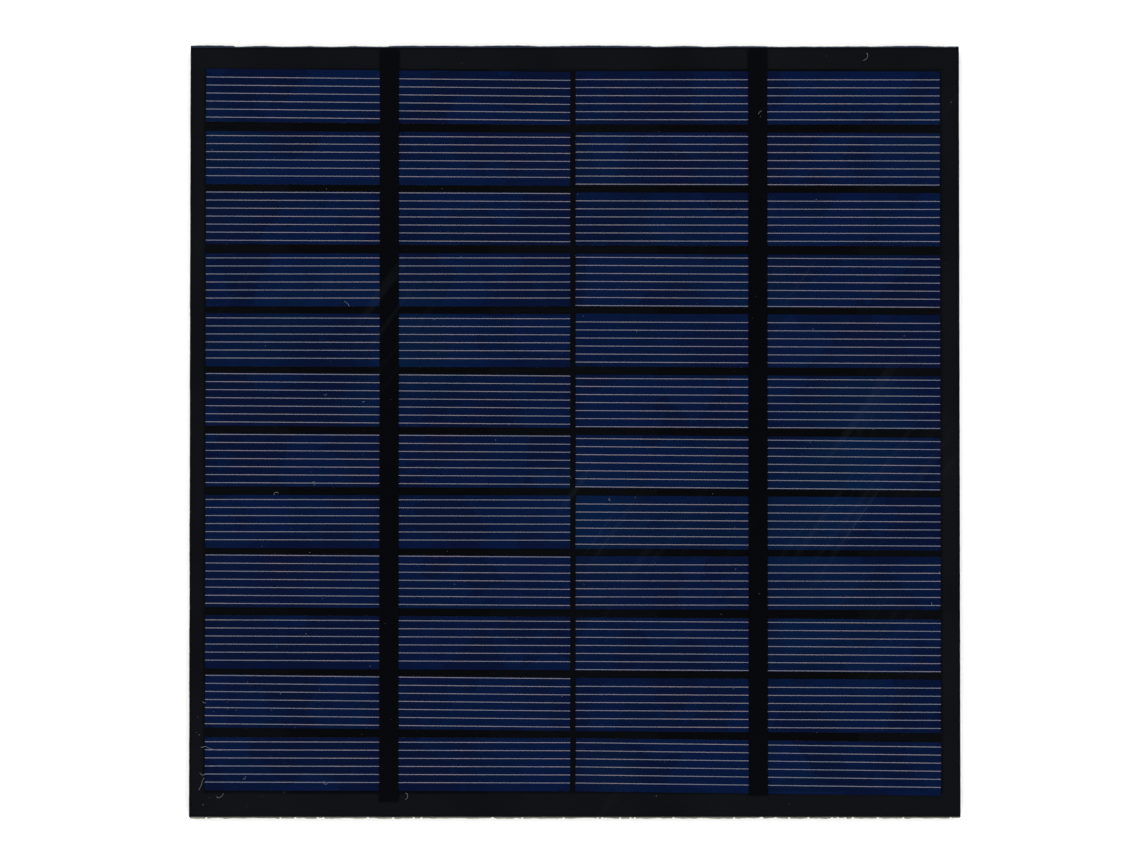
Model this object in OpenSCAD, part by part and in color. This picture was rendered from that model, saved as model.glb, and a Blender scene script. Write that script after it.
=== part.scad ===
// Square solar panel: two strings of narrow cells, laminated between a glass-fibre board and a
// clear film. The panel lies on its back: +Z faces the sun, +Y is the terminal edge, and the
// origin is at the centre of the back face.

/* [Panel] */
// Side of the square panel
panel_side = 145; // [144:0.5:160]
// Thickness of the glass-fibre board
board_t = 2; // [1:0.1:3]
// Thickness of the black solder mask on each face of the board
mask_t = 0.1; // [0.1:0.01:0.2]
// Thickness of the clear front film
film_t = 0.15; // [0.1:0.05:0.3]

/* [Cells] */
// Cells in series in each string
cell_rows = 12; // [6:1:12]
// Length of one cell strip
cell_w = 68.7; // [60:0.1:69]
// Width of one cell strip
cell_h = 10; // [9.5:0.1:10]
// Thickness of one cell
cell_t = 0.18; // [0.16:0.01:0.2]
// Gap between neighbouring rows
row_gap = 1.45; // [1.35:0.01:1.5]
// Gap between the two strings
string_gap = 1.05; // [1:0.05:2]

/* [Printed grid] */
// Distance between neighbouring fingers
finger_pitch = 1.515; // [1.4:0.005:1.6]
// Width of one finger
finger_w = 0.13; // [0.1:0.01:0.2]
// Width of the busbar across the fingers
busbar_w = 1.6; // [1:0.1:2]

/* [Wiring] */
// Width of the tinned ribbons
ribbon_w = 2; // [1.5:0.1:3]
// Thickness of the tinned ribbons
ribbon_t = 0.15; // [0.1:0.01:0.15]
// Width of the black strips that hide the ribbons
strip_w = 3.6; // [3:0.1:5]
// Width of the copper tracks on the back
track_w = 3; // [2:0.5:4]
// Distance between the centres of the two solder terminals
terminal_spacing = 20; // [12:1:30]

/* [Hidden] */
// The strings as laid by hand, counted down from the terminal edge: turn of each cell in degrees
// clockwise, how far it sits below its even place, and which way its strip was cut.
turn = [[0.55, 0.3, 0.25, 0, 0.15, 0.4, 0.3, 0.1, 0.35, 0.25, 0.55, 0.15],
        [0.05, 0.15, 0.1, 0.3, 0.25, 0.3, 0.5, 0.3, 0.1, 0.35, 0.3, 0.7]];
drop = [[0, 0.2, 0.05, 0.25, 0.2, 0.05, 0, 0.05, -0.15, -0.1, -0.3, -0.15],
        [-0.15, 0, -0.1, 0.1, -0.05, 0.05, 0.05, -0.05, -0.2, 0, -0.1, 0]];
// Cut a has 6 fingers and cut b has 7; a capital is the same cut laid the other way up.
cuts = ["Aabaabbababa", "ABABABBAABAa"];
cut_fingers = [6, 7];
// Plain silicon above the first finger of each cut
cut_lead = [0.85, 0.2];
// How far each string sits above centre and how far both sit to the right
string_lift = [0.2, -0.15];
strings_shift = -0.35;
// How far each cover strip sits to the right of its string's centre
strip_shift = [0.25, 0];

// Layers, from the back face up
copper_t = mask_t / 2;
print_t = 0.02;
under_t = 0.03;
strip_t = 0.05;
over_strip_t = 0.05;
// Room that the encapsulant leaves above the printed fingers
print_clear = 0.005;
// How far the cell pockets' cutters run out past the encapsulant's lower face
cut_past = 0.1;
z_rear_copper = mask_t - copper_t;
z_board = mask_t;
z_front_mask = z_board + board_t;
z_front_copper = z_front_mask + copper_t;
z_under = z_front_mask + mask_t;
z_rear_ribbon = z_under + under_t;
z_contact = z_rear_ribbon + ribbon_t;
z_cell = z_contact + print_t;
z_grid = z_cell + cell_t;
z_front_ribbon = z_grid + print_t;
z_strip = z_front_ribbon + ribbon_t;
z_film = z_strip + strip_t + over_strip_t;
panel_t = z_film + film_t;

// Lead slots through the board, beyond the first cells
slot_w = ribbon_w + 1;
slot_h = 1;
slot_gap = 1.2;
// Ribbon ends stop short of a cell's far edge, and bends stay clear of its near edge
ribbon_margin = 1;
bend_clear = 0.2;
// Bottom link: copper under the front mask, reached through one window per string
link_w = 5;
window_w = ribbon_w + 0.6;
window_h = 1.4;
window_gap = 0.6;
// Strips stop short of the top edge, and reach past the last cells
strip_top_gap = 0.4;
strip_overrun = [2, 0.3];
// Solder terminals on the back, with their marks beside them
terminal_w = 6;
terminal_h = 4;
terminal_rim = 0.5;
terminal_y = panel_side / 2 - 8;
mark_size = 3;
mark_line = 0.6;

LEFT = 0;
RIGHT = 1;
pitch_y = cell_h + row_gap;
middle = (cell_rows + 1) / 2;

function side_name(s) = s == LEFT ? "left" : "right";
function side_sign(s) = s == LEFT ? -1 : 1;
function two_digits(n) = n < 10 ? str("0", n) : str(n);
function cell_node(s, row) = str("cell_", side_name(s), "_", two_digits(row));
function string_x(s) = side_sign(s) * (cell_w + string_gap) / 2 + strings_shift;
function cell_y(s, row) = string_lift[s] + pitch_y * (middle - row) - drop[s][row - 1];
function cell_top(s, row) = cell_y(s, row) + cell_h / 2;
function cell_bottom(s, row) = cell_y(s, row) - cell_h / 2;
function cut_kind(letter) = (letter == "a" || letter == "A") ? 0 : 1;
function is_flipped(letter) = letter == "A" || letter == "B";
function slot_y(s) = cell_top(s, 1) + slot_gap + slot_h / 2;

// A box centred on x and y, from z up.
module slab(w, h, z, t, x = 0, y = 0) {
    translate([x - w / 2, y - h / 2, z]) cube([w, h, t]);
}

// Puts its children where one cell lies.
module at_cell(s, row) {
    translate([string_x(s), cell_y(s, row), 0]) rotate(-turn[s][row - 1]) children();
}

// A ribbon as wide as ribbon_w along Y: points are [y, z] of its lower face.
module ribbon(x, points) {
    upper = [for (i = [len(points) - 1:-1:0]) [points[i][0], points[i][1] + ribbon_t]];
    translate([x + ribbon_w / 2, 0, 0]) rotate([90, 0, -90])
        linear_extrude(ribbon_w) mirror([1, 0]) polygon(concat(points, upper));
}

module front_film() {
    color([0.75, 0.8, 0.85, 0.15]) slab(panel_side, panel_side, z_film, film_t);
}

module front_encapsulant() {
    color([0.85, 0.87, 0.88, 0.15]) difference() {
        slab(panel_side, panel_side, z_contact, z_film - z_contact);
        for (s = [LEFT, RIGHT]) {
            for (row = [1:cell_rows]) at_cell(s, row)
                slab(cell_w, cell_h, z_contact - cut_past,
                     z_front_ribbon + print_clear - z_contact + cut_past);
            string_wiring(s);
            cover_strip(s);
        }
    }
}

// A black strip over the ribbons of one string.
module cover_strip(s) {
    top = panel_side / 2 - strip_top_gap;
    bottom = cell_bottom(s, cell_rows) - strip_overrun[s];
    color([0.03, 0.03, 0.05])
        slab(strip_w, top - bottom, z_strip, strip_t, string_x(s) + strip_shift[s], (top + bottom) / 2);
}

// The silver print on one cell: fingers along the strip, and a busbar across them.
module finger_grid(s, row) {
    letter = cuts[s][row - 1];
    kind = cut_kind(letter);
    at_cell(s, row) rotate(is_flipped(letter) ? 180 : 0) {
        slab(busbar_w, cell_h, z_grid, print_t);
        for (i = [0:cut_fingers[kind] - 1])
            slab(cell_w, finger_w, z_grid, print_t, 0,
                 cell_h / 2 - cut_lead[kind] - i * finger_pitch);
    }
}

module finger_grids(s) {
    color([0.62, 0.62, 0.68]) for (row = [1:cell_rows]) finger_grid(s, row);
}

module cell(s, row) {
    color([0.03, 0.09, 0.22]) at_cell(s, row) slab(cell_w, cell_h, z_cell, cell_t);
}

module rear_contacts(s) {
    color([0.6, 0.6, 0.6]) for (row = [1:cell_rows])
        at_cell(s, row) slab(cell_w, cell_h, z_contact, print_t);
}

// Links each cell's front to the back of the next one. The left string runs down the panel, so
// its links leave the upper cell's front; the right string runs back up, so they reach its back.
module link_ribbons(s) {
    z_upper = s == LEFT ? z_front_ribbon : z_rear_ribbon;
    z_lower = s == LEFT ? z_rear_ribbon : z_front_ribbon;
    color([0.75, 0.76, 0.78]) for (row = [1:cell_rows - 1])
        ribbon(string_x(s),
               [[cell_top(s, row) - ribbon_margin, z_upper],
                [cell_bottom(s, row) - bend_clear, z_upper],
                [cell_top(s, row + 1) + bend_clear, z_lower],
                [cell_bottom(s, row + 1) + ribbon_margin, z_lower]]);
}

// Where each bottom ribbon meets the copper: past the left cell's edge, and under the right cell.
function window_y(s) = cell_bottom(s, cell_rows)
    + (s == LEFT ? -window_gap - window_h / 2 : window_gap + window_h / 2);

// Takes the left string's last front down to the bottom link.
module bottom_ribbon_left() {
    edge = cell_bottom(LEFT, cell_rows);
    color([0.75, 0.76, 0.78]) ribbon(string_x(LEFT),
        [[cell_top(LEFT, cell_rows) - ribbon_margin, z_front_ribbon],
         [edge - bend_clear, z_front_ribbon],
         [edge - window_gap, z_rear_ribbon],
         [edge - window_gap - window_h, z_rear_ribbon]]);
}

// Lies under the right string's last cell, on the bottom link.
module bottom_ribbon_right() {
    color([0.75, 0.76, 0.78]) ribbon(string_x(RIGHT),
        [[cell_top(RIGHT, cell_rows) - ribbon_margin, z_rear_ribbon],
         [cell_bottom(RIGHT, cell_rows) + window_gap, z_rear_ribbon]]);
}

// A ribbon's straight leg down through the board to the rear copper.
module lead_leg(s) {
    slab(ribbon_w, ribbon_t, z_rear_copper, z_rear_ribbon + ribbon_t - z_rear_copper,
         string_x(s), slot_y(s));
}

// From the back of the left string's first cell, out and down through the board.
module positive_lead_ribbon() {
    color([0.75, 0.76, 0.78]) union() {
        ribbon(string_x(LEFT), [[slot_y(LEFT), z_rear_ribbon],
                                [cell_bottom(LEFT, 1) + ribbon_margin, z_rear_ribbon]]);
        lead_leg(LEFT);
    }
}

// From the front of the right string's first cell, over its edge and down through the board.
module negative_lead_ribbon() {
    color([0.75, 0.76, 0.78]) union() {
        ribbon(string_x(RIGHT), [[slot_y(RIGHT), z_rear_ribbon],
                                 [cell_top(RIGHT, 1) + slot_gap, z_rear_ribbon],
                                 [cell_top(RIGHT, 1) + bend_clear, z_front_ribbon],
                                 [cell_bottom(RIGHT, 1) + ribbon_margin, z_front_ribbon]]);
        lead_leg(RIGHT);
    }
}

module lead_ribbon(s) {
    if (s == LEFT) positive_lead_ribbon(); else negative_lead_ribbon();
}

// Every ribbon of one string, as the encapsulant sees it.
module string_wiring(s) {
    link_ribbons(s);
    lead_ribbon(s);
    if (s == LEFT) bottom_ribbon_left(); else bottom_ribbon_right();
}

module rear_encapsulant() {
    color([0.85, 0.87, 0.88, 0.3]) difference() {
        slab(panel_side, panel_side, z_under, z_contact - z_under);
        for (s = [LEFT, RIGHT]) string_wiring(s);
        cross_link_joints();
    }
}

module link_windows() {
    for (s = [LEFT, RIGHT])
        slab(window_w, window_h, z_front_copper, z_under - z_front_copper,
             string_x(s), window_y(s));
}

module lead_slots(z, t) {
    for (s = [LEFT, RIGHT]) slab(slot_w, slot_h, z, t, string_x(s), slot_y(s));
}

module front_solder_mask() {
    color([0.05, 0.055, 0.06]) difference() {
        slab(panel_side, panel_side, z_front_mask, mask_t);
        cross_link_track();
        link_windows();
        lead_slots(z_front_mask, mask_t);
    }
}

// Copper on the front of the board that joins the bottom ends of the two strings.
module cross_link_track() {
    from_x = string_x(LEFT) - link_w / 2;
    to_x = string_x(RIGHT) + link_w / 2;
    color([0.72, 0.45, 0.2]) slab(to_x - from_x, link_w, z_front_mask, copper_t,
        (from_x + to_x) / 2, (window_y(LEFT) + window_y(RIGHT)) / 2);
}

module cross_link_joints() {
    color([0.7, 0.71, 0.72]) for (s = [LEFT, RIGHT])
        slab(ribbon_w, window_h, z_front_copper, z_rear_ribbon - z_front_copper,
             string_x(s), window_y(s));
}

module backing_board() {
    color([0.55, 0.6, 0.35]) difference() {
        slab(panel_side, panel_side, z_board, board_t);
        lead_slots(z_board, board_t);
    }
}

// Terminal of one string: the left string ends in the positive one.
function terminal_x(s) = side_sign(s) * terminal_spacing / 2;

// Copper on the back, from one lead slot along the edge to its terminal.
module rear_track(s) {
    pad_w = terminal_w + 2 * terminal_rim;
    pad_h = terminal_h + 2 * terminal_rim;
    outer_x = string_x(s) + side_sign(s) * (slot_w / 2 + terminal_rim);
    inner_x = terminal_x(s) - side_sign(s) * pad_w / 2;
    run_top = slot_y(s) + slot_h / 2 + terminal_rim;
    color([0.72, 0.45, 0.2]) difference() {
        union() {
            slab(abs(outer_x - inner_x), track_w, z_rear_copper, copper_t,
                 (outer_x + inner_x) / 2, run_top - track_w / 2);
            slab(pad_w, run_top - terminal_y + pad_h / 2, z_rear_copper, copper_t,
                 terminal_x(s), (run_top + terminal_y - pad_h / 2) / 2);
        }
        slab(slot_w, slot_h, z_rear_copper, copper_t, string_x(s), slot_y(s));
    }
}

// Solder that fills each lead slot around the ribbon's end, flush with the back.
module lead_joints() {
    fill_t = board_t / 2;
    color([0.7, 0.71, 0.72]) difference() {
        lead_slots(0, z_board + fill_t);
        for (s = [LEFT, RIGHT]) lead_leg(s);
    }
}

// Tinned solder terminal, flush with the back.
module solder_terminal(s) {
    color([0.78, 0.79, 0.8])
        slab(terminal_w, terminal_h, 0, z_rear_copper, terminal_x(s), terminal_y);
}

// A plus and a minus, printed beside the terminals.
module polarity_marks() {
    offset_x = terminal_w / 2 + terminal_rim + mark_size;
    color([0.92, 0.92, 0.9]) {
        slab(mark_size, mark_line, 0, print_t, terminal_x(LEFT) - offset_x, terminal_y);
        slab(mark_line, mark_size, 0, print_t, terminal_x(LEFT) - offset_x, terminal_y);
        slab(mark_size, mark_line, 0, print_t, terminal_x(RIGHT) + offset_x, terminal_y);
    }
}

module rear_solder_mask() {
    color([0.05, 0.055, 0.06]) difference() {
        slab(panel_side, panel_side, 0, mask_t);
        rear_track(LEFT);
        rear_track(RIGHT);
        solder_terminal(LEFT);
        solder_terminal(RIGHT);
        lead_slots(0, mask_t);
        polarity_marks();
    }
}

front_film();
front_encapsulant();
cover_strip(LEFT);  // cover_strip_left
cover_strip(RIGHT);  // cover_strip_right
finger_grids(LEFT);  // finger_grids_left
finger_grids(RIGHT);  // finger_grids_right
for (s = [LEFT, RIGHT], row = [1:cell_rows])
    cell(s, row);
rear_contacts(LEFT);  // rear_contacts_left
rear_contacts(RIGHT);  // rear_contacts_right
link_ribbons(LEFT);  // link_ribbons_left
link_ribbons(RIGHT);  // link_ribbons_right
bottom_ribbon_left();
bottom_ribbon_right();
positive_lead_ribbon();
negative_lead_ribbon();
rear_encapsulant();
front_solder_mask();
cross_link_track();
cross_link_joints();
backing_board();
rear_track(LEFT);  // positive_track
rear_track(RIGHT);  // negative_track
lead_joints();
solder_terminal(LEFT);  // positive_terminal
solder_terminal(RIGHT);  // negative_terminal
polarity_marks();
rear_solder_mask();
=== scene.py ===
import math
import random

import bmesh
import bpy
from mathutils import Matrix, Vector


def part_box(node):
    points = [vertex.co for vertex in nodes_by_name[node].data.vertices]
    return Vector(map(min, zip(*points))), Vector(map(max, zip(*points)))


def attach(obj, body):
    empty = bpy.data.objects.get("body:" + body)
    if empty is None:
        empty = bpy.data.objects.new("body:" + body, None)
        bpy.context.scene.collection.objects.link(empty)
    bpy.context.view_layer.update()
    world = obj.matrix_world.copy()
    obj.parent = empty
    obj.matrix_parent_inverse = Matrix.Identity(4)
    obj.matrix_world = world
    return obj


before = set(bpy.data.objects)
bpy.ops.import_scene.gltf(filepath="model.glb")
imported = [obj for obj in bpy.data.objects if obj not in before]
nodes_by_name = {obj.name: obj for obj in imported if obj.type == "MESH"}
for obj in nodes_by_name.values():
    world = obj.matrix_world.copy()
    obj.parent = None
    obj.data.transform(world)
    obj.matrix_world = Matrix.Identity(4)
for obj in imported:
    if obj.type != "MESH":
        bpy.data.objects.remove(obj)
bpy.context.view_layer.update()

MM = 0.001
STRINGS = ("left", "right")
ROWS = range(1, 13)
film_low, film_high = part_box("front_film")
board_low, board_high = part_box("backing_board")


# ---------------------------------------------------------------- materials

class Look:
    """A procedural material, with short ways to add nodes to it."""

    def __init__(self, name, roughness=0.5, metallic=0.0, coat=0.0, coat_roughness=0.05,
                 specular=0.5):
        self.material = bpy.data.materials.new(name)
        self.material.use_nodes = True
        self.tree = self.material.node_tree
        self.shader = self.tree.nodes["Principled BSDF"]
        self.place = self.tree.nodes.new("ShaderNodeTexCoord").outputs["Object"]
        self.set("Roughness", roughness)
        self.set("Metallic", metallic)
        self.set("Coat Weight", coat)
        self.set("Coat Roughness", coat_roughness)
        # Under a coat, the coat alone mirrors
        self.set("Specular IOR Level", 0.0 if coat else specular)

    def set(self, socket, value):
        """Gives the shader's socket a number, a colour or another node's output."""
        self.feed(self.shader.inputs[socket], value)

    def feed(self, socket, value):
        if isinstance(value, bpy.types.NodeSocket):
            self.tree.links.new(value, socket)
        elif isinstance(value, tuple) and len(value) == 3 and socket.type == "RGBA":
            socket.default_value = (*value, 1.0)
        else:
            socket.default_value = value

    def add(self, kind, *inputs, **settings):
        """A new node with its first inputs and its settings given. Returns the node."""
        node = self.tree.nodes.new(kind)
        for key, value in settings.items():
            setattr(node, key, value)
        for socket, value in zip(node.inputs, inputs):
            if value is not None:
                self.feed(socket, value)
        return node

    def math(self, operation, a, b=0.0):
        return self.add("ShaderNodeMath", a, b, operation=operation).outputs[0]

    def noise(self, size_mm, detail=2.0, stretch=(1, 1, 1), place=None):
        """Noise from 0 to 1 whose blobs are about size_mm across, drawn out by stretch."""
        node = self.add("ShaderNodeTexNoise")
        scaled = self.add("ShaderNodeVectorMath", place or self.place,
                          tuple(1 / s for s in stretch), operation="MULTIPLY")
        self.feed(node.inputs["Vector"], scaled.outputs[0])
        node.inputs["Scale"].default_value = 1 / (size_mm * MM)
        node.inputs["Detail"].default_value = detail
        return node.outputs["Fac"]

    def grains(self, size_mm, place):
        """A random number from 0 to 1 for each crystal of about size_mm."""
        node = self.add("ShaderNodeTexVoronoi")
        self.feed(node.inputs["Vector"], place)
        node.inputs["Scale"].default_value = 1 / (size_mm * MM)
        return self.add("ShaderNodeSeparateColor", node.outputs["Color"]).outputs[0]

    def ramp(self, value, low, high, to_low=0.0, to_high=1.0):
        """Takes low..high smoothly to to_low..to_high."""
        node = self.add("ShaderNodeMapRange", value, low, high, to_low, to_high,
                        interpolation_type="SMOOTHSTEP")
        return node.outputs[0]

    def mix(self, factor, a, b):
        """Colour a at factor 0 and b at factor 1."""
        node = self.add("ShaderNodeMix", data_type="RGBA")
        self.feed(node.inputs["Factor"], factor)
        self.feed(node.inputs[6], a)
        self.feed(node.inputs[7], b)
        return node.outputs[2]

    def axes(self, place=None):
        """The X, Y and Z of a place, in metres."""
        return self.add("ShaderNodeSeparateXYZ", place or self.place).outputs

    def bump(self, height, depth_mm):
        """Lets height, from 0 to 1, stand depth_mm out of the surface."""
        node = self.add("ShaderNodeBump")
        self.feed(node.inputs["Distance"], depth_mm * MM)
        self.feed(node.inputs["Height"], height)
        self.set("Normal", node.outputs[0])

    def patch(self, centre, half, soft):
        """1 within half of a centre on the panel's face, falling to 0 over soft. All in mm."""
        x, y, _ = self.axes()
        sides = []
        for value, middle, reach in ((x, centre[0], half[0]), (y, centre[1], half[1])):
            away = self.math("ABSOLUTE", self.math("SUBTRACT", value, middle * MM))
            sides.append(self.ramp(away, reach * MM, (reach + soft) * MM, 1.0, 0.0))
        return self.math("MULTIPLY", *sides)


def dress(look, *names):
    """Gives CAD nodes a material."""
    for name in names:
        mesh = nodes_by_name[name].data
        mesh.materials.clear()
        mesh.materials.append(look.material)


def silicon():
    """Blue nitride over multicrystalline silicon. Each strip has crystals of its own."""
    deep, bright = (0.0002, 0.0020, 0.0145), (0.0001, 0.0036, 0.0225)
    violet_blue, teal_blue = (0.0012, 0.0024, 0.0180), (0.0002, 0.0066, 0.0255)
    large_grain, small_grain, cloud_size = 9.0, 3.5, 14.0
    large_share, small_share, cloud_share = 0.45, 0.2, 0.35
    violet_share, teal_share = 0.3, 0.55
    strip_shift, grain_bend = 31 * MM, 4 * MM

    look = Look("silicon_cell", coat=1.0)
    x, y, _ = look.axes()
    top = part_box("cell_left_01")[1].y
    pitch = (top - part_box("cell_left_12")[0].y) / len(ROWS)
    row = look.math("FLOOR", look.math("DIVIDE", look.math("SUBTRACT", top, y), pitch))
    side = look.math("GREATER_THAN", x, 0.0)
    strip = look.math("ADD", row, look.math("MULTIPLY", side, float(len(ROWS))))
    shift = look.math("MULTIPLY", strip, strip_shift)
    place = look.add("ShaderNodeCombineXYZ", x, y, shift).outputs[0]
    wobble = look.noise(3.0, detail=3.0, place=place)
    push = look.math("MULTIPLY", wobble, grain_bend)
    bent = look.add("ShaderNodeVectorMath", place, push, operation="ADD").outputs[0]
    big = look.grains(large_grain, bent)
    small = look.grains(small_grain, bent)
    soft = look.noise(cloud_size, detail=3.0, place=place)
    tone = look.math("ADD", look.math("MULTIPLY", big, large_share),
                     look.math("MULTIPLY", small, small_share))
    tone = look.math("ADD", tone, look.math("MULTIPLY", soft, cloud_share))
    colour = look.mix(look.ramp(tone, 0.25, 0.75), deep, bright)
    violet = look.ramp(look.noise(40.0, detail=1.0, place=place), 0.45, 0.75)
    colour = look.mix(look.math("MULTIPLY", violet, violet_share), colour, violet_blue)
    teal = look.ramp(look.noise(34.0, detail=1.5), 0.5, 0.72)
    colour = look.mix(look.math("MULTIPLY", teal, teal_share), colour, teal_blue)
    look.set("Base Color", colour)
    look.set("Roughness", look.ramp(small, 0.0, 1.0, 0.38, 0.48))
    return look


def silver_print():
    """Fired silver paste: dull, grainy, and warmer in places."""
    cool_grey, warm_grey, pit = (0.105, 0.115, 0.145), (0.145, 0.128, 0.148), (0.05, 0.055, 0.08)
    look = Look("silver_print", metallic=0.35, coat=1.0)
    grit = look.noise(0.25, detail=3.0)
    warm = look.ramp(look.noise(9.0, detail=2.0), 0.35, 0.7)
    colour = look.mix(warm, cool_grey, warm_grey)
    look.set("Base Color", look.mix(look.math("MULTIPLY", grit, 0.15), colour, pit))
    look.bump(grit, 0.003)
    return look


def front_mask():
    """The black face of the board, darker between the cells and beside the cover strips."""
    margin, between = (0.0018, 0.0021, 0.0028), (0.0004, 0.0005, 0.0008)
    beside_strip, strip_reach, soft = (0.0001, 0.0000, 0.0002), 18.5, 0.8

    look = Look("solder_mask_front", roughness=0.4, coat=1.0, coat_roughness=0.06)
    cells_low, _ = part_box("cell_left_12")
    _, cells_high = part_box("cell_right_01")
    middle, half = (cells_low + cells_high) / 2 / MM, (cells_high - cells_low) / 2 / MM
    inner = look.patch(middle, half, soft)
    strings = None
    for side in STRINGS:
        low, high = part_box(f"cover_strip_{side}")
        centre = ((low.x + high.x) / 2 / MM, middle.y)
        band = look.patch(centre, (strip_reach, half.y), soft)
        strings = band if strings is None else look.math("MAXIMUM", strings, band)
    cloud = look.ramp(look.noise(24.0, detail=3.0), 0.3, 0.7, 0.72, 1.25)
    colour = look.mix(inner, margin, between)
    colour = look.mix(strings, colour, beside_strip)
    colour = look.add("ShaderNodeVectorMath", colour, cloud, operation="MULTIPLY").outputs[0]
    look.set("Base Color", colour)
    look.bump(look.noise(0.6, detail=1.0), 0.004)
    return look


def rear_mask():
    """The plain black back, with the copper tracks standing out softly under the mask."""
    look = Look("solder_mask_rear", roughness=0.4, coat=1.0, coat_roughness=0.09)
    track_width, rim, soft = 3.0, 0.5, 0.3
    mask_dark, mask_light = (0.0040, 0.0044, 0.0050), (0.0065, 0.0070, 0.0080)
    over_copper = (0.0125, 0.0105, 0.0080)
    relief = None
    for pole in ("positive", "negative"):
        low, high = (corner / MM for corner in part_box(f"{pole}_track"))
        pad_low, pad_high = (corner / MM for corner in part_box(f"{pole}_terminal"))
        run = look.patch(((low.x + high.x) / 2, high.y - track_width / 2),
                         ((high.x - low.x) / 2, track_width / 2), soft)
        pad = look.patch(((pad_low.x + pad_high.x) / 2, (low.y + high.y) / 2),
                         ((pad_high.x - pad_low.x) / 2 + rim, (high.y - low.y) / 2), soft)
        track = look.math("MAXIMUM", run, pad)
        relief = track if relief is None else look.math("MAXIMUM", relief, track)
    cloud = look.noise(26.0, detail=3.0)
    plain = look.mix(cloud, mask_dark, mask_light)
    look.set("Base Color", look.mix(relief, plain, over_copper))
    weave = look.math("MULTIPLY", look.noise(0.6, detail=1.0), 0.08)
    look.bump(look.math("ADD", relief, weave), 0.035)
    return look


def cover_tape():
    """The black strips over the busbars, a little duller than the film round them."""
    look = Look("cover_strip", roughness=0.45, coat=0.6, coat_roughness=0.12)
    cloud = look.noise(12.0, detail=4.0)
    look.set("Base Color", look.mix(cloud, (0.0001, 0.0001, 0.0004), (0.0003, 0.0003, 0.0009)))
    look.bump(look.noise(1.2, detail=2.0), 0.01)
    return look


def woven_board():
    """Glass cloth in epoxy: pale green-yellow, with its plies and saw marks on the cut edge."""
    resin_rich, cloth_rich, sawn = (0.19, 0.20, 0.085), (0.42, 0.43, 0.24), (0.10, 0.10, 0.05)
    look = Look("glass_fibre")
    ply = look.noise(0.35, detail=2.0, stretch=(30, 30, 0.5))
    saw = look.noise(0.8, detail=4.0, stretch=(0.25, 0.25, 3))
    colour = look.mix(look.ramp(ply, 0.35, 0.65), resin_rich, cloth_rich)
    look.set("Base Color", look.mix(look.math("MULTIPLY", saw, 0.35), colour, sawn))
    look.set("Roughness", look.ramp(saw, 0.2, 0.8, 0.45, 0.75))
    look.bump(look.math("ADD", ply, saw), 0.02)
    return look


def clear_resin(name, flat_alpha, edge_alpha, tint, wear):
    """Clear film or resin. Its faces almost vanish, and its cut edge shows milky.

    wear from 0 to 1 is how much the wipe marks and fine scratches on it show.
    """
    wipe_angle, smear_depth, scratch_depth = math.radians(35), 0.007, 0.04
    look = Look(name, roughness=0.35, specular=0.1)
    haze = look.noise(30.0, detail=4.0)
    look.set("Base Color", look.mix(haze, tint, tuple(0.6 * c for c in tint)))
    turned = look.add("ShaderNodeVectorRotate", look.place, rotation_type="Z_AXIS")
    turned.inputs["Angle"].default_value = wipe_angle
    wipe = look.noise(5.0, detail=4.0, stretch=(0.4, 9, 1), place=turned.outputs[0])
    where = look.ramp(look.noise(38.0, detail=1.0), 0.56, 0.7)
    smear = look.math("MULTIPLY", look.ramp(wipe, 0.5, 0.8), where)
    scratch = look.noise(1.6, detail=1.0, stretch=(0.12, 26, 1), place=turned.outputs[0])
    scratch = look.math("MULTIPLY", look.ramp(scratch, 0.74, 0.8), where)
    marks = look.math("ADD", look.math("MULTIPLY", smear, smear_depth * wear),
                      look.math("MULTIPLY", scratch, scratch_depth * wear))
    up = look.tree.nodes.new("ShaderNodeTexCoord").outputs["Normal"]
    facing = look.math("ABSOLUTE", look.axes(up)[2])
    edge = look.ramp(facing, 0.3, 0.7, edge_alpha, flat_alpha)
    look.set("Alpha", look.math("ADD", edge, marks))
    return look


def metal(name, dark, light, roughness):
    """A worn metal between two colours."""
    look = Look(name, metallic=1.0)
    cloud = look.noise(4.8, detail=4.0)
    grit = look.noise(0.8, detail=3.0)
    look.set("Base Color", look.mix(cloud, dark, light))
    look.set("Roughness", look.ramp(grit, 0.2, 0.8, roughness * 0.75, roughness * 1.25))
    look.bump(grit, 0.01)
    return look


def white_ink():
    """The printed plus and minus."""
    look = Look("white_print", roughness=0.6)
    blotch = look.noise(0.5, detail=4.0)
    look.set("Base Color", look.mix(blotch, (0.62, 0.62, 0.58), (0.8, 0.8, 0.77)))
    look.bump(look.noise(0.3), 0.005)
    return look


cells = [f"cell_{side}_{row:02d}" for side in STRINGS for row in ROWS]
dress(silicon(), *cells)
dress(silver_print(), "finger_grids_left", "finger_grids_right")
dress(front_mask(), "front_solder_mask")
dress(rear_mask(), "rear_solder_mask")
dress(cover_tape(), "cover_strip_left", "cover_strip_right")
dress(woven_board(), "backing_board")
dress(clear_resin("clear_film", flat_alpha=0.0008, edge_alpha=0.5,
                  tint=(0.25, 0.33, 0.42), wear=1.0), "front_film")
dress(clear_resin("encapsulant", flat_alpha=0.001, edge_alpha=0.3,
                  tint=(0.10, 0.14, 0.22), wear=0.0), "front_encapsulant", "rear_encapsulant")
dress(metal("rear_aluminium", (0.42, 0.42, 0.43), (0.6, 0.6, 0.6), roughness=0.6),
      "rear_contacts_left", "rear_contacts_right")
dress(metal("tinned_ribbon", (0.6, 0.61, 0.64), (0.78, 0.79, 0.8), roughness=0.25),
      "link_ribbons_left", "link_ribbons_right", "bottom_ribbon_left", "bottom_ribbon_right",
      "positive_lead_ribbon", "negative_lead_ribbon")
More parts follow.
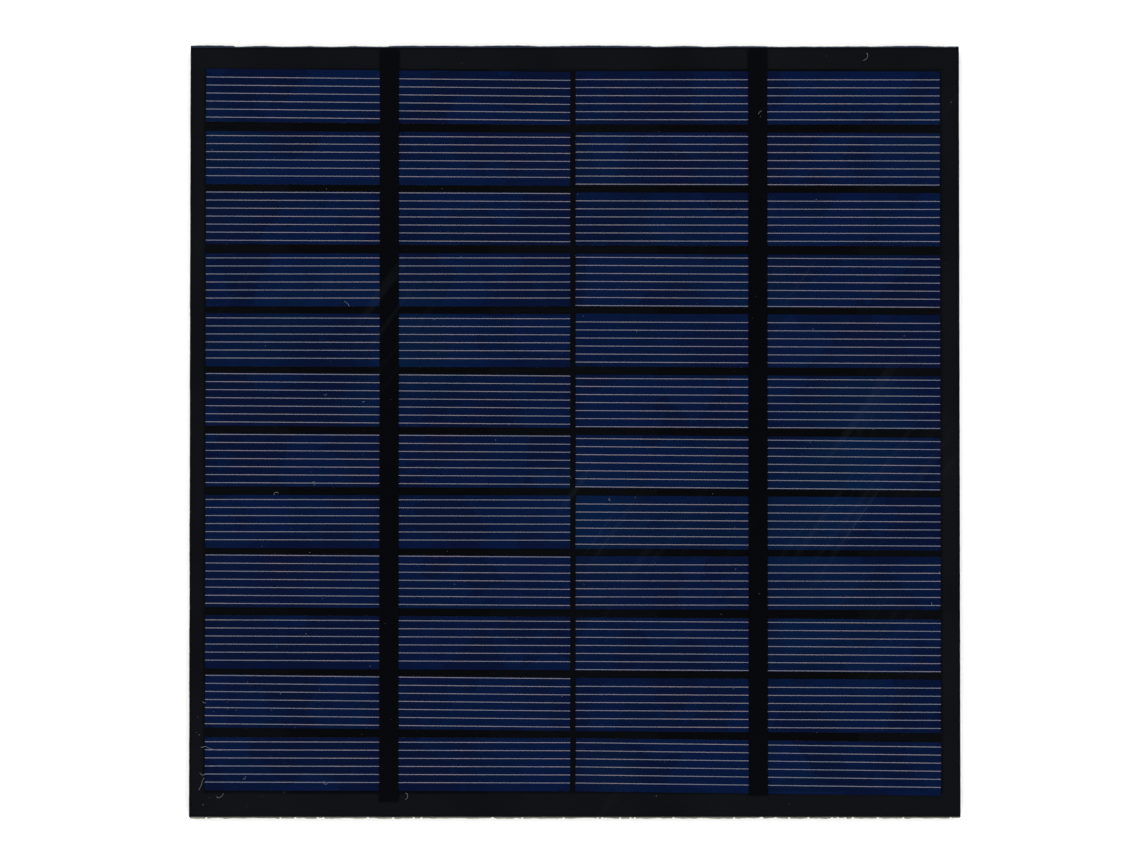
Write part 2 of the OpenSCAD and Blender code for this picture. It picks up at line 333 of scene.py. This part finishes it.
dress(metal("solder", (0.5, 0.51, 0.53), (0.72, 0.73, 0.74), roughness=0.35),
      "cross_link_joints", "lead_joints", "positive_terminal", "negative_terminal")
dress(metal("copper", (0.55, 0.27, 0.13), (0.75, 0.4, 0.22), roughness=0.35),
      "cross_link_track", "positive_track", "negative_track")
dress(white_ink(), "polarity_marks")

# These stand a hair proud, because with their faces exactly on the clear layers' they render
# black: a ray that passes the clear face seems to miss the dark one. The weld comes first, as
# the CAD meshes are split along their edges and a displacement alone would open them.
WELD_REACH = 0.0005 * MM
PROUD_BY = 0.004 * MM
for name in ("cover_strip_left", "cover_strip_right", "front_solder_mask"):
    weld = nodes_by_name[name].modifiers.new("weld", "WELD")
    weld.merge_threshold = WELD_REACH
    proud = nodes_by_name[name].modifiers.new("proud", "DISPLACE")
    proud.mid_level = 0.0
    proud.strength = PROUD_BY

# The clear layers take nothing from the light that reaches those below. This only lightens
# the margins a little, and the blacks above are tuned with it.
for name in ("front_film", "front_encapsulant", "rear_encapsulant"):
    nodes_by_name[name].visible_shadow = False
    nodes_by_name[name].visible_glossy = False
    nodes_by_name[name].visible_diffuse = False


# ---------------------------------------------------------------- edges, dust and fibres

rng = random.Random(24)


def make_piece(name, verts, faces, look):
    """A piece of its own that rides on the panel. verts are in metres."""
    mesh = bpy.data.meshes.new(name)
    mesh.from_pydata(verts, [], faces)
    mesh.validate()
    piece = bpy.data.objects.new(name, mesh)
    bpy.context.scene.collection.objects.link(piece)
    mesh.materials.append(look.material)
    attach(piece, "root")
    return piece


def ragged(count, low, high, smooth):
    """count numbers that wander between low and high, in runs of about smooth steps."""
    fine_share = 0.25
    knots = [rng.random() for _ in range(count // smooth + 3)]
    out = []
    for i in range(count):
        at = i / smooth
        k, part = int(at), at - int(at)
        part = part * part * (3 - 2 * part)
        slow = knots[k] * (1 - part) + knots[k + 1] * part
        wander = (1 - fine_share) * slow + fine_share * rng.random()
        out.append(low + (high - low) * wander)
    return out


def edge_strip(name, edge, z_range, reaches, look, span=(0.0, 1.0)):
    """A closed ragged strip along one edge. reaches say how far it stands out, in mm.

    edge is top, bottom, left or right; span is how much of that edge it covers.
    """
    low, high = board_low, board_high
    ends = {"top": ((low.x, high.y), (high.x, high.y), (0, 1)),
            "bottom": ((low.x, low.y), (high.x, low.y), (0, -1)),
            "left": ((low.x, low.y), (low.x, high.y), (-1, 0)),
            "right": ((high.x, low.y), (high.x, high.y), (1, 0))}
    (x0, y0), (x1, y1), (nx, ny) = ends[edge]
    buried, lip_share = 0.02 * MM, 0.22
    middle = (z_range[0] + z_range[1]) / 2
    lip = (z_range[1] - z_range[0]) * lip_share
    verts, faces = [], []
    for i, reach in enumerate(reaches):
        t = span[0] + (span[1] - span[0]) * i / (len(reaches) - 1)
        x, y = x0 + (x1 - x0) * t, y0 + (y1 - y0) * t
        for out, z in ((-buried, z_range[0]), (reach * MM, middle - lip),
                       (reach * MM, middle + lip), (-buried, z_range[1])):
            verts.append((x + nx * out, y + ny * out, z))
    for i in range(len(reaches) - 1):
        a, b = 4 * i, 4 * (i + 1)
        for k in range(4):
            m = (k + 1) % 4
            faces.append((a + k, a + m, b + m, b + k))
    last = 4 * (len(reaches) - 1)
    faces += [(3, 2, 1, 0), (last, last + 1, last + 2, last + 3)]
    outward(make_piece(name, verts, faces, look))


def outward(piece):
    """Turns every face of a closed piece outwards."""
    work = bmesh.new()
    work.from_mesh(piece.data)
    bmesh.ops.recalc_face_normals(work, faces=work.faces)
    work.to_mesh(piece.data)
    work.free()


def resin_flash():
    """Cured resin squeezed out past the board, deep blue-black and glossy."""
    look = Look("resin_flash", roughness=0.4, coat=0.6, coat_roughness=0.15)
    look.set("Base Color", look.mix(look.noise(2.5, detail=4.0),
                                    (0.004, 0.006, 0.016), (0.016, 0.022, 0.045)))
    look.bump(look.noise(0.4, detail=3.0), 0.02)
    return look


def sawn_fibre():
    """Torn glass cloth and epoxy where the saw left the board."""
    look = Look("sawn_fibre", roughness=0.8, specular=0.2)
    strands = look.noise(0.5, detail=4.0, stretch=(3, 3, 0.4))
    look.set("Base Color", look.mix(strands, (0.045, 0.05, 0.028), (0.24, 0.24, 0.16)))
    look.bump(strands, 0.03)
    return look


def lint():
    """Pale grey dust and fibres."""
    look = Look("lint", roughness=0.9, specular=0.1)
    look.set("Base Color", look.mix(look.noise(0.4, detail=3.0),
                                    (0.06, 0.06, 0.07), (0.22, 0.22, 0.24)))
    return look


def add_edges():
    """The resin squeezed out all round, and the board's sawn bottom and side edges. In mm."""
    flash, burr = resin_flash(), sawn_fibre()
    resin_z = (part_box("rear_encapsulant")[0].z, film_low.z)
    board_z = (board_low.z + 0.1 * (board_high.z - board_low.z), board_high.z)
    steps = 360
    top = ragged(steps, low=0.08, high=0.32, smooth=11)
    # Two stretches of the top stand further out: where they start and stop, and how much more
    for start, stop, more in ((0.0, 0.06, 0.12), (0.26, 0.6, 0.08)):
        for i in range(int(start * steps), int(stop * steps)):
            top[i] += more
    edge_strip("resin_flash_top", "top", resin_z, top, flash)
    for edge, reach in (("left", 0.10), ("right", 0.07), ("bottom", 0.05)):
        edge_strip(f"resin_flash_{edge}", edge, resin_z,
                   ragged(steps, low=0.01, high=reach, smooth=12), flash)
    chip_chance, chip_left = 0.06, 0.35
    chips = [reach * (chip_left if rng.random() < chip_chance else 1.0)
             for reach in ragged(520, low=0.30, high=0.52, smooth=4)]
    edge_strip("board_burr_bottom", "bottom", board_z, chips, burr)
    edge_strip("board_burr_left", "left", board_z,
               ragged(160, low=0.0, high=0.16, smooth=4), burr, span=(0.0, 0.22))
    edge_strip("board_burr_right", "right", board_z,
               ragged(200, low=0.0, high=0.05, smooth=4), burr)


def speck(x, y, radius):
    """Points and faces of one flat, uneven, closed speck that lies on the film."""
    count = rng.randint(5, 8)
    low = [(x + radius * rng.uniform(0.6, 1.2) * math.cos(2 * math.pi * i / count),
            y + radius * rng.uniform(0.5, 1.1) * math.sin(2 * math.pi * i / count))
           for i in range(count)]
    top, top_share = film_high.z + 0.7 * radius, 0.6
    verts = [(px, py, film_high.z) for px, py in low]
    verts += [(x + top_share * (px - x), y + top_share * (py - y), top) for px, py in low]
    faces = [tuple(reversed(range(count))), tuple(range(count, 2 * count))]
    faces += [(i, (i + 1) % count, count + (i + 1) % count, count + i) for i in range(count)]
    return verts, faces


def add_dust():
    """Specks over the whole film, thicker in the lower left corner. One piece in all."""
    radii_mm = (0.025, 0.03, 0.03, 0.04, 0.05, 0.08)
    spread, speck_count, corner_every = 0.985, 360, 5
    whole, corner = 2.0, 0.35
    verts, faces = [], []
    centre = (film_low + film_high) / 2
    half = (film_high - film_low) / 2
    for i in range(speck_count):
        near = corner if i % corner_every == 0 else whole
        x = centre.x + half.x * (rng.random() * near * spread - spread)
        y = centre.y + half.y * (rng.random() * near * spread - spread)
        radius = rng.choice(radii_mm) * MM
        more_verts, more_faces = speck(x, y, radius)
        base = len(verts)
        verts += more_verts
        faces += [tuple(base + k for k in face) for face in more_faces]
    outward(make_piece("dust_specks", verts, faces, lint()))


def add_fibre(name, u, v, heading, curl, length, look):
    """A thin closed tube of lint, kept inside the film's edges.

    u and v are where it starts, from -1 to 1 across the panel. heading and curl are in
    radians, length in mm.
    """
    radius, sides, steps, inset = 0.028 * MM, 6, 26, 0.4 * MM
    tip_share, kink_chance, kink = 0.45, 0.2, 0.6
    centre = (film_low + film_high) / 2
    half = (film_high - film_low) / 2
    point = Vector((centre.x + half.x * u, centre.y + half.y * v, film_high.z + radius))
    step = length * MM / steps
    verts, faces = [], []
    for i in range(steps + 1):
        along = Vector((math.cos(heading), math.sin(heading), 0))
        across = Vector((-along.y, along.x, 0))
        thin = radius * (tip_share if i in (0, steps) else 1.0)
        for k in range(sides):
            angle = 2 * math.pi * k / sides
            verts.append(point + across * thin * math.cos(angle)
                         + Vector((0, 0, thin * math.sin(angle))))
        point = point + along * step
        point.x = min(max(point.x, film_low.x + inset), film_high.x - inset)
        point.y = min(max(point.y, film_low.y + inset), film_high.y - inset)
        heading += curl / steps
        if rng.random() < kink_chance:
            heading += rng.uniform(-kink, kink)
    for i in range(steps):
        for k in range(sides):
            m = (k + 1) % sides
            a, b = sides * i, sides * (i + 1)
            faces.append((a + k, a + m, b + m, b + k))
    faces += [tuple(reversed(range(sides))), tuple(range(sides * steps, sides * (steps + 1)))]
    outward(make_piece(name, verts, faces, look))


def add_fibres():
    """Eight fibres near where the photo shows lint, and nine scattered at random."""
    look = lint()
    # Where each starts, u and v, then its heading, curl and length
    placed = {"fibre_curled": (0.75, 0.965, 0.4, 2.4, 2.0),
              "fibre_bottom_left": (-0.97, -0.82, 0.25, 0.3, 4.0),
              "fibre_corner": (-0.975, -0.93, 1.0, 0.6, 2.6),
              "fibre_corner_1": (-0.972, -0.885, 5.2, 2.0, 1.2),
              "fibre_corner_2": (-0.93, -0.945, 5.6, 2.0, 2.0),
              "fibre_corner_3": (-0.86, -0.90, 5.3, 2.0, 0.9),
              "fibre_corner_4": (-0.44, -0.955, 0.5, 2.0, 1.8),
              "fibre_corner_5": (-0.965, -0.70, 5.0, 2.0, 0.8)}
    for name, (u, v, heading, curl, length) in placed.items():
        add_fibre(name, u, v, heading, curl, length, look)
    across, turns, curls, lengths = (-0.95, 0.95), (0, 6.3), (-4, 4), (0.5, 1.5)
    for i in range(9):
        u, v, heading, curl, length = (rng.uniform(*limits)
                                       for limits in (across, across, turns, curls, lengths))
        add_fibre(f"fibre_{i + 1}", u, v, heading, curl, length, look)


add_edges()
add_dust()
add_fibres()


# ---------------------------------------------------------------- studio

def add_floor():
    """Plain pale paper, a hair below the panel."""
    reach, z = 0.6, -0.2 * MM
    mesh = bpy.data.meshes.new("floor")
    corners = [(-reach, -reach), (reach, -reach), (reach, reach), (-reach, reach)]
    mesh.from_pydata([(x, y, z) for x, y in corners], [], [(0, 1, 2, 3)])
    floor = bpy.data.objects.new("floor", mesh)
    bpy.context.scene.collection.objects.link(floor)
    look = Look("floor_paper", roughness=0.9)
    mottle = look.noise(60.0)
    look.set("Base Color", look.mix(mottle, (0.86, 0.86, 0.86), (0.88, 0.88, 0.88)))
    mesh.materials.append(look.material)


def add_softbox(azimuth, elevation, distance, size, power):
    """A square soft light that faces the panel. Angles in degrees, the rest in m and W."""
    data = bpy.data.lights.new("softbox", "AREA")
    data.shape = "SQUARE"
    data.size = size
    data.energy = power
    lamp = bpy.data.objects.new("softbox", data)
    bpy.context.scene.collection.objects.link(lamp)
    turn, rise = math.radians(azimuth), math.radians(elevation)
    lamp.location = Vector((math.sin(turn) * math.cos(rise), math.cos(turn) * math.cos(rise),
                            math.sin(rise))) * distance
    lamp.rotation_euler = lamp.location.to_track_quat("Z", "Y").to_euler()


def add_world():
    """White round the horizon, and dark overhead so that the film's own reflection stays dark."""
    world = bpy.data.worlds.new("studio")
    bpy.context.scene.world = world
    world.use_nodes = True
    tree = world.node_tree
    place = tree.nodes.new("ShaderNodeTexCoord")
    split = tree.nodes.new("ShaderNodeSeparateXYZ")
    ramp = tree.nodes.new("ShaderNodeValToRGB")
    tree.links.new(place.outputs["Generated"], split.inputs[0])
    tree.links.new(split.outputs["Z"], ramp.inputs[0])
    tree.links.new(ramp.outputs[0], tree.nodes["Background"].inputs[0])
    # Brightness from the horizon, at height 0, to straight overhead, at 1
    stops = [(0.0, 1.1), (0.12, 1.05), (0.2, 0.3), (0.45, 0.13), (0.9, 0.045), (1.0, 0.04)]
    cool_white = Vector((0.97, 0.98, 1.04))
    while len(ramp.color_ramp.elements) < len(stops):
        ramp.color_ramp.elements.new(0.5)
    for element, (height, level) in zip(ramp.color_ramp.elements, stops):
        element.position = height
        element.color = (*(level * cool_white), 1.0)


def add_camera():
    """Above the sunny side, leaning just enough to show the bottom edge as the photo does."""
    # How much of the frame's width the panel fills, and the rest of the framing
    share_of_width = 0.6755
    lean = math.radians(0.85)
    off_centre = (-0.0062, 0.005)
    data = bpy.data.cameras.new("camera")
    data.lens = 85.0
    data.sensor_width = 36.0
    data.clip_start = 0.01
    camera = bpy.data.objects.new("camera", data)
    bpy.context.scene.collection.objects.link(camera)
    bpy.context.scene.camera = camera
    side = film_high.x - film_low.x
    distance = side / share_of_width * data.lens / data.sensor_width
    target = Vector((off_centre[0] * side, off_centre[1] * side, film_high.z))
    back = Vector((0, -math.sin(lean), math.cos(lean)))
    camera.location = target + back * distance
    camera.rotation_euler = (lean, 0, 0)


add_floor()
for azimuth in (45, 135, 225, 315):
    add_softbox(azimuth, elevation=56, distance=1.3, size=0.5, power=8.8)
add_world()
add_camera()
bpy.context.scene.view_settings.view_transform = "Standard"
